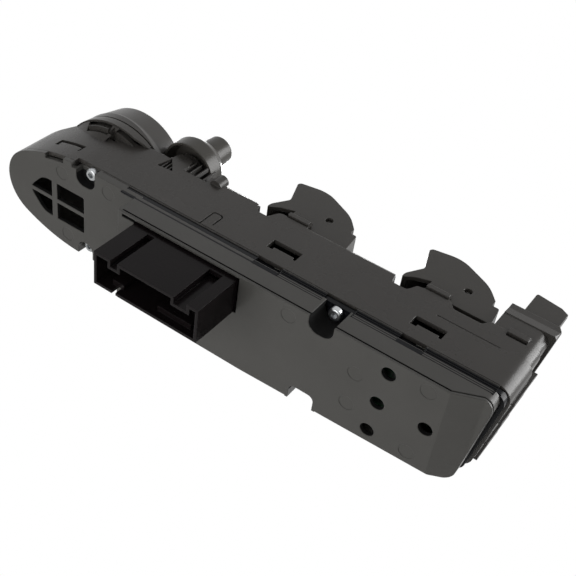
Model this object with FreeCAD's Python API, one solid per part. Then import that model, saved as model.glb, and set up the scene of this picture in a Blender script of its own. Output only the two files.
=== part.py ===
import FreeCAD, Part
import math
import os

V = FreeCAD.Vector

# Power window switch of a driver's door: four window rockers, a mirror pad in a
# turret, a mirror selector knob and a window lock key on one long housing.
# Frame: z = 0 on the trim face, +z toward the driver, +x from the nose to the
# square end, y = 0 on the centre line, x = 0 midway between the rocker rows.

# Housing
WALL_HALF = 21.5            # half width of the straight walls
WALL = 1.8                  # wall thickness of housing and cover
DECK = 2.0                  # thickness of the deck under the trim face
HOUSING_LOW = -25.8         # lower edge of the housing walls
NOSE_TIP_X = -157.65        # front end of the nose
NOSE_R = 16.0               # radius of the nose tip
SIDE_R = 70.0               # radius of the arcs that run into the nose
END_NEAR_X = 66.2           # end wall at the near side
END_FAR_X = 59.0            # end wall at the far side
END_CORNER_R = 6.0
END_STEP = 1.1              # above this step the end wall stands further in
END_STEP_Z = -8.3
SLOPE_X = -142.5            # the deck slopes down to the nose from here
SLOPE_Z = -3.0
NOSE_TOP_Z = -16.0          # height of the slope at the nose tip

# Rockers
PIVOT_X = 30.0              # rocker pivots lie this far from the middle
PIVOT_Y = 10.1              # middle of a rocker from the centre line
PIVOT_Z = 11.5
ROCKER_HALF = 9.3           # half width of one rocker
SKIN = 1.6                  # wall of the moulded keys
PIN_R = 1.5
PIN_GAP = 0.06              # running clearance of the pivots
LEG_DROP = 32.5             # from the pivot down to the leg's tip
LEG_R = 1.3                 # round tip of the leg
WELL_FLOOR = -6.2           # top of the floor the rockers sit over
FLOOR = 1.8                 # thickness of that floor

# Lock key
TOWER_X = 45.4              # front face of the raised end
TOWER_TOP = 15.7
TOWER_INSET = 0.6           # the raised end stands this far inside the walls
CAP_LOW = 8.6               # a wider cap with a leaning band crowns the raised end
CAP_INSET = 0.3
KEY_X0 = 50.0
KEY_X1 = 63.6
KEY_Y0 = -19.3
KEY_Y1 = -2.7
KEY_TOP = 28.2
KEY_LOW = 11.0
KEY_INSET = 2.3             # the key's back follows the end wall at this distance
KEY_STEM_X = 55.6
KEY_STEM_Y = -11.0

# Mirror turret, pad and selector knob
TURRET_X = -124.1           # axis of the drum and the pad
TURRET_Y = -2.0
TURRET_TOP = 14.2
TURRET_WALL = 2.0
RIM_R = 22.0                # drum at its top
BASE_R = 25.6               # drum where it runs out into the flange
FLANGE_X = -122.9           # the flange lies a little off the drum's axis
FLANGE_Y = 0.9
FLANGE_R = 27.45
FLANGE_LOW = -4.4
LIP = 0.95                  # thickness of the flange's hanging rim
SEAT_LOW = -14.0            # the housing flares out under the flange from here
SEAT_R = 19.5
SEAT_END_X = -121.2
PAD_HOLE_R = 15.8
PAD_R = 15.2
GIMBAL_Z = 6.0
GIMBAL_PIN_R = 1.2
FOOT_OUT = 7.8              # feet of the pad from its axes
MIRROR_BOARD_TOP = -4.0
KNOB_X = -93.4
KNOB_Y = -14.1
KNOB_R = 12.3
STEM_R = 4.4
KNOB_LOW = 5.0
KNOB_TOP = 27.5

# Carrier, board and cover
CARRIER_INSET = 0.9         # the carrier's edge lies behind the walls
CARRIER_LOW = -29.1
CARRIER_FLOOR = 1.6
CARRIER_X = -96.3
COVER_FACE = -40.0
COVER_FLOOR = 2.0
COVER_X = -90.35            # step from the nose tray to the main box
COVER_END_NEAR = 63.2
COVER_END_FAR = 57.6
COVER_FAR_Y = 18.9          # far edge of the cover at its end
COVER_MID_Y = 22.0          # far edge of the cover up to its bend
NOSE_FACE = -30.0
NOSE_RIM = -26.0            # upper rim of the nose tray
SKIRT_LOW = -28.1           # round the nose tip the housing reaches down to here
SKIRT_X = -122.8
BOARD = 1.6
PLATE_HOLE_R = 2.8          # round holes in the cover

# Screws
SCREW_R = 1.5
HEAD_R = 2.7
HEAD_H = 2.1
NOSE_SCREWS = [(-114.9, -18.0), (-115.9, 18.0)]
MID_SCREWS = [(-0.4, -18.1), (-3.0, 17.7)]
NOSE_SEAT = -25.95          # underside of the screw seats in the nose

# Connector inlet
SHROUD_X0 = -82.0
SHROUD_X1 = -35.4
SHROUD_Y0 = -19.6
SHROUD_Y1 = -4.7
SHROUD_RIM = -62.0
SHROUD_WALL = 1.2
SHROUD_FLOOR = -44.0

BIG = 400.0


def box(x0, x1, y0, y1, z0, z1):
    return Part.makeBox(x1 - x0, y1 - y0, z1 - z0, V(x0, y0, z0))


def rod(x, y, z0, z1, r):
    return Part.makeCylinder(r, z1 - z0, V(x, y, z0), V(0, 0, 1))


def cross_rod(x, y0, y1, z, r):
    return Part.makeCylinder(r, y1 - y0, V(x, y0, z), V(0, 1, 0))


def long_rod(x0, x1, y, z, r):
    return Part.makeCylinder(r, x1 - x0, V(x0, y, z), V(1, 0, 0))


def cone(x, y, z0, r0, z1, r1):
    return Part.makeCone(r0, r1, z1 - z0, V(x, y, z0), V(0, 0, 1))


def fuse(shapes):
    return shapes[0].multiFuse(shapes[1:]).removeSplitter()


def run(corners, closed):
    """Straight edges with round corners; each corner is (u, v, radius)."""
    pts = [V(c[0], c[1], 0) for c in corners]
    n = len(pts)
    ends = []
    for i, c in enumerate(corners):
        if c[2] <= 0:
            ends.append((pts[i], None, pts[i]))
            continue
        a = (pts[i - 1] - pts[i]).normalize()
        b = (pts[(i + 1) % n] - pts[i]).normalize()
        half = a.getAngle(b) / 2
        back = c[2] / math.tan(half)
        mid = (a + b).normalize()
        centre = pts[i] + mid * (c[2] / math.sin(half))
        ends.append((pts[i] + a * back, centre - mid * c[2], pts[i] + b * back))
    edges = []
    for i in range(n):
        if ends[i][1] is not None:
            edges.append(Part.Arc(*ends[i]).toShape())
        if not closed and i == n - 1:
            break
        p = ends[i][2]
        q = ends[(i + 1) % n][0]
        if p.distanceToPoint(q) > 1e-6:
            edges.append(Part.makeLine(p, q))
    return edges


def face_of(edges):
    return Part.Face(Part.Wire(Part.__sortEdges__(edges)))


def slab(edges, z0, z1):
    """A plan outline raised from z0 to z1."""
    f = face_of(edges)
    f.translate(V(0, 0, z0))
    return f.extrude(V(0, 0, z1 - z0))


def side_slab(corners, y0, y1):
    """An outline seen from the side (x, z), from y0 to y1."""
    f = face_of(run(corners, True))
    f.rotate(V(0, 0, 0), V(1, 0, 0), 90)
    f.translate(V(0, y0, 0))
    return f.extrude(V(0, y1 - y0, 0))


def end_slab(corners, x0, x1):
    """An outline seen from the end (y, z), from x0 to x1."""
    f = face_of(run(corners, True))
    f.rotate(V(0, 0, 0), V(1, 1, 1), 120)
    f.translate(V(x0, 0, 0))
    return f.extrude(V(x1 - x0, 0, 0))


def turned(x, y, profile):
    """A profile (radius, z, corner radius) turned about a vertical axis."""
    f = face_of(run(profile, True))
    f.rotate(V(0, 0, 0), V(1, 0, 0), 90)
    f.translate(V(x, y, 0))
    return f.revolve(V(x, y, 0), V(0, 0, 1), 360)


def arc_of(cx, cy, r, a0, a1):
    pts = []
    for a in (a0, (a0 + a1) / 2, a1):
        t = math.radians(a)
        pts.append(V(cx + r * math.cos(t), cy + r * math.sin(t), 0))
    return Part.Arc(*pts).toShape()


def plan(inset, near_x, far_x, corner):
    """Outline of the housing: round nose, side arcs, slanted square end."""
    nose_x = NOSE_TIP_X + NOSE_R
    rise = SIDE_R - WALL_HALF
    side_x = nose_x + math.sqrt((SIDE_R - NOSE_R) ** 2 - rise ** 2)
    half = WALL_HALF - inset
    turn = math.degrees(math.atan2(rise, side_x - nose_x))
    far = run([(side_x, half, 0), (far_x, half, corner), (near_x, -half, corner),
               (side_x, -half, 0)], False)
    near_arc = arc_of(side_x, rise, SIDE_R - inset, 270, 180 + turn)
    tip_arc = arc_of(nose_x, 0, NOSE_R - inset, 180 + turn, 180 - turn)
    far_arc = arc_of(side_x, -rise, SIDE_R - inset, 180 - turn, 90)
    return far + [near_arc, tip_arc, far_arc]


def body_plan(inset):
    return plan(inset, END_NEAR_X - inset, END_FAR_X - inset, END_CORNER_R - inset)


def upper_plan(inset):
    """Above its step the end wall stands further in."""
    setback = END_STEP + inset
    return plan(inset, END_NEAR_X - setback, END_FAR_X - setback, END_CORNER_R - setback)


def key_plan(grow):
    """The end wall's line as the lock key follows it."""
    setback = KEY_INSET - grow
    return plan(WALL - grow, END_NEAR_X - setback, END_FAR_X - setback, 1.0)


def cover_plan(inset):
    return run([(COVER_X + inset, -WALL_HALF + inset, 0),
                (COVER_END_NEAR - inset, -WALL_HALF + inset, 4.0 - inset),
                (COVER_END_FAR - inset, COVER_FAR_Y - inset, 4.0 - inset),
                (-30.0, COVER_MID_Y - inset, 0),
                (COVER_X + inset, COVER_MID_Y - inset, 0)], True)


def both_ways(values):
    return [(sx * values[0], sy * values[1]) for sx in (-1, 1) for sy in (-1, 1)]


ROCKERS = both_ways((PIVOT_X, PIVOT_Y))
PLACES = ["front_near", "front_far", "rear_near", "rear_far"]
FEET = [(TURRET_X + dx, TURRET_Y + dy) for dx, dy in both_ways((FOOT_OUT, FOOT_OUT))]


def notch(x0, x1, y, radius, grow, z0, z1):
    """A slot open at one long edge with a round inner end at y."""
    side = 1 if y > 0 else -1
    tip = y - side * grow
    corners = [(x0 - grow, side * 30, 0), (x0 - grow, tip, radius + grow),
               (x1 + grow, tip, radius + grow), (x1 + grow, side * 30, 0)]
    return slab(run(corners, True), z0, z1)


def sector(x, y, r, a0, a1, z0, z1):
    """A wedge of a round bar between two angles in degrees."""
    ends = [V(x + r * math.cos(math.radians(a)), y + r * math.sin(math.radians(a)), 0)
            for a in (a0, a1)]
    edges = [Part.makeLine(V(x, y, 0), ends[0]), arc_of(x, y, r, a0, a1),
             Part.makeLine(ends[1], V(x, y, 0))]
    return slab(edges, z0, z1)


def over_slope(lift):
    """The space above the sloping deck of the nose."""
    return side_slab([(SLOPE_X, BIG, 0), (SLOPE_X, SLOPE_Z + lift, 0),
                      (NOSE_TIP_X, NOSE_TOP_Z + lift, 0), (-BIG, NOSE_TOP_Z + lift, 0),
                      (-BIG, BIG, 0)], -BIG, BIG)


# Upper housing

TOWER_HALF_X = 5.0          # chimneys that carry the rocker pins
SIDE_GAP = 0.3
TOWER_HALF_Y = ROCKER_HALF - SKIN - SIDE_GAP
CHIMNEY = 1.6
PIN_REACH = 1.0             # the pins end inside the rockers' side walls
EYE_R = 4.0                 # round tops of the chimney walls
WELLS = [(-54.2, -14.4), (6.0, TOWER_X)]
WELL_HALF = WALL_HALF - WALL
BOSS_R = 3.2
KNOB_SEAT_R = 6.8           # fixed collar the selector knob turns over
STEM_GAP = 0.08
SHELF = WELL_FLOOR - FLOOR  # underside of the floors
MIRROR_BOARD_R = 14.6
NOTCH_WALL = 1.2            # walls of the pockets round the cover screws
CUP_NEAR = (-120.5, -111.0, -13.0, 3.6)
CUP_FAR = (-119.7, -112.1, 14.8, 3.7)
CUP_TOP = NOSE_SEAT + 1.5
RIBS = [(-88.6, 0.5), (-86.2, 0.5), (-83.2, 0.6), (-79.7, 0.9)]     # start and thickness
RIBS_END_X = -77.5
RIBS_Z = -3.9


def rocker_chimney(x, y):
    walls = box(x - TOWER_HALF_X, x + TOWER_HALF_X, y - TOWER_HALF_Y, y + TOWER_HALF_Y,
                SHELF, PIVOT_Z - EYE_R)
    parts = [walls]
    for side in (-1, 1):
        a = y + side * (TOWER_HALF_Y - CHIMNEY)
        b = y + side * TOWER_HALF_Y
        neck = b + side * (PIN_REACH - 0.6)
        parts.append(box(x - EYE_R, x + EYE_R, min(a, b), max(a, b), 0, PIVOT_Z))
        parts.append(cross_rod(x, min(a, b), max(a, b), PIVOT_Z, EYE_R))
        parts.append(cross_rod(x, min(b, neck), max(b, neck), PIVOT_Z, PIN_R))
        parts.append(Part.makeCone(PIN_R, PIN_R / 2, 0.6, V(x, neck, PIVOT_Z), V(0, side, 0)))
    return fuse(parts)


EAR_X0 = -12.0              # ears beside the rockers, measured from the pivot
EAR_X1 = -2.9
EAR_LOW = 0.4
EAR_WEB = 0.7


def wall_dips():
    """The wall tops drop under the noses and behind the rear rockers."""
    dips = [[(-55.3, 1, 0), (-55.1, -0.2, 0.8), (-52.2, -5.2, 1), (-47.6, -5.2, 1),
             (-45.4, -0.8, 1), (-42.2, 1, 0)],
            [(5.6, 1, 0), (7.2, -5.4, 1), (13.2, -5.4, 1.5), (15.2, -1.2, 1),
             (18.0, -0.4, 0), (18.0, 1, 0)],
            [(27.3, 1, 0), (31.0, -3.2, 1.5), (42.0, -3.2, 1.5), (45.0, 1, 0)]]
    cuts = []
    for side in (-1, 1):
        y0 = side * WALL_HALF
        y1 = side * WELL_HALF
        for dip in dips:
            cuts.append(side_slab(dip, min(y0, y1) - 0.01, max(y0, y1) + 0.01))
        # the wall top lies lower under the ears
        for x in (-PIVOT_X, PIVOT_X):
            y2 = side * (WELL_HALF + EAR_WEB)
            cuts.append(box(x + EAR_X0 - 0.2, x + EAR_X1 + 0.2, min(y0, y2), max(y0, y2),
                            -0.2, EAR_LOW))
        # sloping top edges between the keys
        for x0, x1 in ((SEAT_END_X, -97.6), (-70.4, -54.0), (-32.4, 7.4)):
            cuts.append(end_slab([(y0 + side * 0.1, -1.5, 0), (y0 + side * 0.1, 0.1, 0),
                                  (y0 - side * 0.9, 0.1, 0)], x0, x1))
    return cuts


def wall_ear(x, side):
    """A catch on top of the wall beside a rocker, over a thin gap, with a sloping top."""
    root = side * WELL_HALF
    face = side * (WALL_HALF + 0.7)
    foot = root + side * EAR_WEB
    lug = end_slab([(root, EAR_LOW, 0), (face, EAR_LOW, 0), (face, 2.3, 0),
                    (side * (WALL_HALF - 0.5), 3.8, 0), (root, 3.8, 0)], x + EAR_X0, x + EAR_X1)
    web = end_slab([(root, -1, 0), (foot, -1, 0), (foot, 1, 0), (root, 1, 0)],
                   x + EAR_X0, x + EAR_X1)
    return lug.fuse(web)


def snap_slot(x0, x1, z0, z1, y0, y1, leg, bar):
    """A slot on three sides that leaves a springy tongue, held at the bottom."""
    outer = box(x0, x1, y0, y1, z0, z1)
    tongue = box(x0 + leg, x1 - leg / 2, y0, y1, z0, z1 - bar)
    return outer.cut(tongue)


def clip_slot(y0, y1):
    """A thin cut round a clip tongue, with round upper corners."""
    outer = side_slab([(-63.8, -27, 0), (-63.8, -16.6, 1.6), (-58.9, -16.6, 1.6),
                       (-58.9, -27, 0)], y0, y1)
    tongue = side_slab([(-63.2, -28, 0), (-63.2, -17.2, 1.0), (-59.5, -17.2, 1.0),
                        (-59.5, -28, 0)], y0, y1)
    return outer.cut(tongue).cut(box(-59.6, -58, y0, y1, -28, -23.7))


def nose_skirt(gap):
    """The strip of wall that reaches lower round the nose tip."""
    ring = slab(body_plan(-gap), SKIRT_LOW - gap, NOSE_RIM + 0.3)
    ring = ring.cut(slab(body_plan(WALL + gap), SKIRT_LOW - 1, 0))
    return ring.common(box(-BIG, SKIRT_X + gap, -BIG, BIG, -BIG, 0))


def flange_seat():
    """The nose flares out to carry the flange; a hook stands in its near side."""
    top = FLANGE_LOW - 0.1
    top_r = FLANGE_R - LIP / 2
    flare = turned(FLANGE_X, FLANGE_Y, [(0, SEAT_LOW, 0), (SEAT_R, SEAT_LOW, 0),
                                        (top_r, top, 0), (0, top, 0)])
    end_x = SEAT_END_X - 2.5
    ends = [(-170, -40, 0), (end_x + 12, -40, 0), (end_x, -WALL_HALF, 0),
            (end_x, WALL_HALF, 0), (end_x + 12, 40, 0), (-170, 40, 0)]
    flare = flare.common(slab(run(ends, True), SEAT_LOW - 1, 0))
    pocket = sector(FLANGE_X, FLANGE_Y, FLANGE_R + 1, 239, 267, top - 3.7, top + 1)
    flare = flare.cut(pocket.cut(rod(FLANGE_X, FLANGE_Y, -20, 0, FLANGE_R - 4.2)))
    hook = turned(FLANGE_X, FLANGE_Y, [(22, top - 2.6, 0), (FLANGE_R - 1.5, top - 2.6, 0),
                                       (FLANGE_R - 1.5, top - 1.8, 0),
                                       (FLANGE_R - 2.5, top - 0.6, 0), (22, top - 0.6, 0)])
    return flare.fuse(hook.common(sector(FLANGE_X, FLANGE_Y, 40, 241, 266, -20, 0)))


def flange_seat_room():
    low_r = SEAT_R - 2.3
    high_r = FLANGE_R - 4.0
    room = turned(FLANGE_X, FLANGE_Y, [(0, SEAT_LOW, 0), (low_r, SEAT_LOW, 0),
                                       (high_r, FLANGE_LOW - 1.6, 0),
                                       (0, FLANGE_LOW - 1.6, 0)])
    room = room.common(box(-BIG, SEAT_END_X - WALL, -BIG, BIG, -BIG, 0))
    return room.cut(sector(FLANGE_X, FLANGE_Y, 60, 233, 274, -20, 0))


def knob_seat():
    """Round collar for the knob's stem and a wall block beside it, below the bell."""
    collar = rod(KNOB_X, KNOB_Y, -1, 7.0, KNOB_SEAT_R)
    block = side_slab([(-97.0, -2, 0), (-97.0, 1, 0), (-96.4, 4.6, 0.8), (-89.6, 3.5, 0.8),
                       (-88.6, -2, 0)], -WALL_HALF, KNOB_Y)
    return collar.fuse(block)


def housing_room():
    """Hollow inside, with floors kept under the rocker wells and the lock key."""
    room = slab(body_plan(WALL), HOUSING_LOW - 1, -DECK).cut(over_slope(-DECK))
    for x0, x1 in WELLS:
        room = room.cut(box(x0 - WALL, x1 + WALL, -BIG, BIG, SHELF, 1))
    return room.cut(box(TOWER_X, BIG, -BIG, BIG, SHELF, 1))


def raised_end():
    """The raised end and its cap, whose near side leans back."""
    raised = slab(upper_plan(TOWER_INSET), -1, CAP_LOW + 0.2)
    cap = slab(plan(CAP_INSET, END_NEAR_X - CAP_INSET, END_FAR_X - CAP_INSET, 1.5),
               CAP_LOW, TOWER_TOP)
    lean_y = CAP_INSET - WALL_HALF
    lean = end_slab([(lean_y - 1, CAP_LOW, 0), (lean_y, CAP_LOW, 0), (lean_y + 0.8, 12.8, 0),
                     (lean_y + 0.8, BIG, 0), (lean_y - 1, BIG, 0)], TOWER_X - 1, BIG)
    corner = side_slab([(END_NEAR_X - 2.2, TOWER_TOP, 0), (END_NEAR_X, TOWER_TOP - 3.2, 0),
                        (END_NEAR_X + 9, TOWER_TOP - 3.2, 0), (END_NEAR_X + 9, TOWER_TOP + 1, 0),
                        (END_NEAR_X - 2.2, TOWER_TOP + 1, 0)], -BIG, BIG)
    keep = box(TOWER_X, BIG, -BIG, BIG, -1, TOWER_TOP)
    return raised.fuse(cap.cut(lean).cut(corner)).common(keep)


def tower_room():
    room = slab(upper_plan(TOWER_INSET + WALL), WELL_FLOOR, TOWER_TOP - DECK)
    room = room.common(box(TOWER_X + WALL, BIG, -BIG, BIG, WELL_FLOOR, TOWER_TOP))
    key_way = slab(key_plan(SIDE_GAP), KEY_LOW - 2, TOWER_TOP + 1)
    key_way = key_way.common(box(KEY_X0 - SIDE_GAP, BIG, KEY_Y0 - SIDE_GAP, KEY_Y1 + SIDE_GAP,
                                 KEY_LOW - 2, TOWER_TOP + 1))
    return room.fuse(key_way).fuse(rod(KEY_STEM_X, KEY_STEM_Y, SHELF - 1, WELL_FLOOR + 1, 1.8))


def wall_windows():
    """Slots and windows in the walls."""
    near0 = -WALL_HALF - 2
    near1 = -WELL_HALF + 0.3
    cuts = [snap_slot(-37.4, -25.0, -19.9, -14.7, near0, near1, 2.5, 3.9),
            snap_slot(22.7, 34.9, -20.0, -15.0, near0, near1, 2.5, 3.9),
            snap_slot(-139.3, -126.4, -22.0, -17.8, near0, -15.5, 1.7, 1.8),
            clip_slot(near0, near1)]
    # gap in the wall top under the flange and a small three-cornered hole below it
    for side in (-1, 1):
        a = side * (WALL_HALF + 1)
        b = side * (WELL_HALF - 4.2)
        cuts.append(side_slab([(SEAT_END_X, 1, 0), (SEAT_END_X, -4.7, 0), (-109.5, -2.2, 0),
                               (-104.0, -0.2, 0), (-104.0, 1, 0)], min(a, b), max(a, b)))
    cuts.append(side_slab([(-124.4, -7.6, 0), (-123.3, -4.9, 0), (-119.6, -7.6, 0)],
                          -WALL_HALF - 6, near1))
    # barred three-cornered window in front of the knob
    barred = side_slab([(-98.3, -8.4, 0), (-96.8, -0.9, 0), (-91.4, -7.5, 0)], near0, near1)
    for x in (-97.1, -95.5, -93.9):
        barred = barred.cut(box(x, x + 0.5, -WALL_HALF + 0.5, near1, -10, 0))
    cuts.append(barred)
    # slot below the catch of the raised end
    cuts.append(box(50.9, 58.7, near0, near1, -2.6, -1.0))
    # a faint panel line below the rear rocker
    cuts.append(box(28.0, 52.5, near0, -WALL_HALF + 0.25, -10.2, -9.7))
    return cuts


def upper_housing():
    outer = slab(body_plan(0), HOUSING_LOW, END_STEP_Z).fuse(slab(upper_plan(0), END_STEP_Z, 0))
    drum_seat = rod(TURRET_X, TURRET_Y, FLANGE_LOW - 1, 0, RIM_R + 0.4)
    lug = rod(-73.5, 0.6 - WALL_HALF, -3.4, 1.9, 2.6)
    lug = lug.cut(box(-BIG, BIG, -WELL_HALF, BIG, -BIG, BIG))
    outer = fuse([outer.cut(over_slope(0)), nose_skirt(0), raised_end(), flange_seat(), drum_seat,
                  lug, knob_seat()])

    outer = outer.cut(housing_room().fuse(flange_seat_room()))
    for x0, x1 in WELLS:
        outer = outer.cut(box(x0, x1, -WELL_HALF, WELL_HALF, WELL_FLOOR, 2))
    outer = outer.cut(tower_room())
    outer = outer.cut(box(RIBS[0][0], RIBS_END_X, -WALL_HALF - 1, 1.6 - WELL_HALF, RIBS_Z, 1))

    adds = [rocker_chimney(x, y) for x, y in ROCKERS]
    for x, y in NOSE_SCREWS:
        adds.append(rod(x, y, CUP_TOP, -DECK, BOSS_R))
    for x, y in MID_SCREWS:
        adds.append(rod(x, y, HOUSING_LOW, -DECK, BOSS_R))
    # posts of the gimbal and of the mirror board
    for side in (-1, 1):
        x = TURRET_X + side * 10.5
        adds.append(box(x - 1, x + 1, TURRET_Y - 2.5, TURRET_Y + 2.5, -1, GIMBAL_Z + 2.4))
        adds.append(rod(TURRET_X + side * 12.0, TURRET_Y, MIRROR_BOARD_TOP, -1, 1.5))
    # catches beside the rockers and on the raised end
    for x in (-PIVOT_X, PIVOT_X):
        for side in (-1, 1):
            adds.append(wall_ear(x, side))
    adds.append(end_slab([(1 - WALL_HALF, -1.0, 0), (-WALL_HALF - 0.5, -1.0, 0),
                          (-WALL_HALF - 0.5, 1.5, 0), (1 - WALL_HALF, 2.8, 0)], 50.9, 58.7))
    # thin ribs in the window beside the knob and on the end wall
    for x, thick in RIBS:
        adds.append(box(x, x + thick, 0.3 - WALL_HALF, 0.2 - WELL_HALF, RIBS_Z - 1,
                        KNOB_LOW - 0.8))
    for y, low, high in ((-12.5, -22.0, -3.0), (-4.0, -24.0, -6.0), (8.0, -24.0, -6.0),
                         (16.0, -25.0, -8.0)):
        reach = END_FAR_X + (END_NEAR_X - END_FAR_X) * (0.5 - y / (2 * WALL_HALF))
        adds.append(box(reach - 1.2, reach + 1.3, y - 0.35, y + 0.35, low, high))
    outer = fuse([outer] + adds)

    cuts = wall_dips() + wall_windows()
    for x, y in ROCKERS:
        cuts.append(box(x - 3.4, x + 3.4, y - TOWER_HALF_Y + CHIMNEY, y + TOWER_HALF_Y - CHIMNEY,
                        SHELF - 1, PIVOT_Z + EYE_R + 1))
    for x, y in NOSE_SCREWS + MID_SCREWS:
        cuts.append(rod(x, y, HOUSING_LOW - 1, -DECK - 3, SCREW_R + 0.05))
    cuts.append(rod(KNOB_X, KNOB_Y, -DECK - 1, 8, STEM_R + STEM_GAP))
    for x, y in FEET:
        cuts.append(rod(x, y, -DECK - 1, 1, 2.6))
    cuts.append(long_rod(TURRET_X - 12, TURRET_X + 12, TURRET_Y, GIMBAL_Z,
                         GIMBAL_PIN_R + PIN_GAP))
    return outer.cut(cuts[0].multiFuse(cuts[1:]))


# Rockers: one moulding each, with a finger lip, side walls, a leg and two holes

ROCKER_SHAPE = [(-19.0, -15.0, 0.8), (-23.6, -8.4, 5.0), (-18.4, 0.6, 2.0), (-22.6, 12.4, 1.6),
                (-10.0, 15.0, 14.0), (4.9, 7.8, 18.0), (10.1, 1.8, 1.2), (10.1, -1.0, 0.8),
                (13.0, -1.0, 1.0), (14.0, -10.5, 0), (-14.0, -10.5, 1.0)]
ROCKER_ROOM = [(-17.4, -13.6, 0), (-21.2, -8.0, 3.0), (-16.6, 0.8, 1.5), (-20.7, 11.2, 0.6),
               (-9.8, 13.3, 12.0), (4.0, 6.5, 16.0), (8.5, 1.1, 0), (8.5, -2.6, 0),
               (11.4, -2.6, 0), (12.3, -11.5, 0), (-13.0, -11.5, 0)]
# below the front lip the key is open at its front and sides
ROCKER_MOUTH = [(-26.0, -20.0, 0), (-26.0, -9.4, 0), (-21.8, -8.8, 0), (-18.6, -6.4, 2.0),
                (-12.8, -4.2, 0), (-12.8, -20.0, 0)]


def rocker(x, y):
    def placed(corners):
        return [(x + u, PIVOT_Z + w, r) for u, w, r in corners]

    key = side_slab(placed(ROCKER_SHAPE), y - ROCKER_HALF, y + ROCKER_HALF)
    room = side_slab(placed(ROCKER_ROOM), y - ROCKER_HALF + SKIN, y + ROCKER_HALF - SKIN)
    key = key.cut(room).cut(side_slab(placed(ROCKER_MOUTH), y - BIG, y + BIG))
    leg = box(x - 1, x + 1, y - 3, y + 3, PIVOT_Z - LEG_DROP, PIVOT_Z + 8.6)
    tip = cross_rod(x, y - 3, y + 3, PIVOT_Z - LEG_DROP, LEG_R)
    key = fuse([key, leg, tip])
    return key.cut(cross_rod(x, y - BIG, y + BIG, PIVOT_Z, PIN_R + PIN_GAP).cut(
        box(x - 5, x + 5, y - 4, y + 4, 0, 30)))


# Sliders and their contact springs on the carrier

SLIDER_HALF_X = 7.0
SLIDER_HALF_Y = 4.6
SLIDE_GAP = 0.05
SLIDER_LOW = HOUSING_LOW + SLIDE_GAP
PLATE = 0.3                 # brass strip of the contact springs
SPRING_HALF = 5.0


def slider(x, y):
    base = box(x - SLIDER_HALF_X, x + SLIDER_HALF_X, y - SLIDER_HALF_Y, y + SLIDER_HALF_Y,
               SLIDER_LOW, -21.5)
    fork = box(x - 3.2, x + 3.2, y - 3.6, y + 3.6, -22, -18.5)
    slot = box(x - LEG_R - PIN_GAP, x + LEG_R + PIN_GAP, y - BIG, y + BIG, -24.0, -18)
    slot = slot.common(box(x - 5, x + 5, y - 3.3, y + 3.3, -25, -17))
    seat = box(x - SPRING_HALF - 0.3, x + SPRING_HALF + 0.3, y - 2.2, y + 2.2,
               SLIDER_LOW - 1, SLIDER_LOW + 0.6)
    return fuse([base, fork]).cut(slot).cut(seat)


def contact_spring(x, y):
    top = SLIDER_LOW + 0.6
    foot = CARRIER_LOW + SLIDE_GAP
    parts = [box(x - SPRING_HALF, x + SPRING_HALF, y - 1.8, y + 1.8, top - PLATE, top)]
    for side in (-1, 1):
        a = x + side * SPRING_HALF
        b = x + side * 1.6
        arm = [(a, top - PLATE, 0), (a - side * 0.9, top - PLATE, 0), (b, foot, 0),
               (b + side * 0.9, foot, 0)]
        parts.append(side_slab(arm, y - 1.8, y - 0.4))
        parts.append(side_slab(arm, y + 0.4, y + 1.8))
    return fuse(parts)


# Lock key, its spring and its switch

KEY_PLATE = 12.5            # underside of the plate that carries the key's stem
COIL_R = 3.0
COIL_WIRE = 0.35


def lock_button():
    bend_x = KEY_X1 - 3.2
    shape = [(KEY_X0, KEY_LOW, 0), (KEY_X0, KEY_TOP, 0.8), (bend_x, KEY_TOP - 1.4, 3.0),
             (KEY_X1, KEY_TOP - 3.2, 0.8), (KEY_X1, KEY_LOW, 0)]
    inner = [(KEY_X0 + SKIN, KEY_LOW - 1, 0), (KEY_X0 + SKIN, KEY_TOP - SKIN - 0.2, 0),
             (bend_x - 0.4, KEY_TOP - 3.2, 0), (KEY_X1 - SKIN, KEY_TOP - 4.8, 0),
             (KEY_X1 - SKIN, KEY_LOW - 1, 0)]
    key = side_slab(shape, KEY_Y0, KEY_Y1).common(slab(key_plan(0), 0, KEY_TOP))
    room = side_slab(inner, KEY_Y0 + SKIN, KEY_Y1 - SKIN)
    key = key.cut(room.common(slab(key_plan(-SKIN), 0, KEY_TOP)))
    plate = box(KEY_X0 + 1, 59.0, KEY_Y0 + 1, KEY_Y1 - 1, KEY_PLATE, KEY_PLATE + SKIN)
    stem = rod(KEY_STEM_X, KEY_STEM_Y, -22.2, KEY_PLATE + 1, 1.6)
    lip = box(KEY_X0 - 1.2, KEY_X0 + 1, -15, -7, KEY_LOW, KEY_LOW + 1.5)
    return fuse([key, plate, stem, lip])


def coil(x, y, z0, z1, r, wire, turns):
    """A coil of wire with a six-sided section, wire being half its thickness."""
    rise = z1 - z0 - 2 * wire
    pitch = rise / turns
    lean = math.atan2(pitch, 2 * math.pi * r)
    section = []
    for i in range(7):
        t = math.radians(60 * i)
        up = wire * math.sin(t)
        section.append(V(r + wire * math.cos(t), -up * math.sin(lean), up * math.cos(lean)))
    path = Part.Wire(Part.makeHelix(pitch, rise, r))
    spring = path.makePipeShell([Part.makePolygon(section)], True, True)
    spring.translate(V(x, y, z0 + wire))
    return spring


def lock_spring():
    return coil(KEY_STEM_X, KEY_STEM_Y, WELL_FLOOR, KEY_PLATE, COIL_R, COIL_WIRE, 8)


def lock_switch():
    x = KEY_STEM_X
    y = KEY_STEM_Y
    case = box(x - 3, x + 3, y - 3, y + 3, HOUSING_LOW, HOUSING_LOW + 1.4)
    return fuse([case, rod(x, y, HOUSING_LOW + 1, HOUSING_LOW + 1.9, 1.4)])


# Mirror turret: a drum on a thin hanging flange, bitten out around the selector knob

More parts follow.
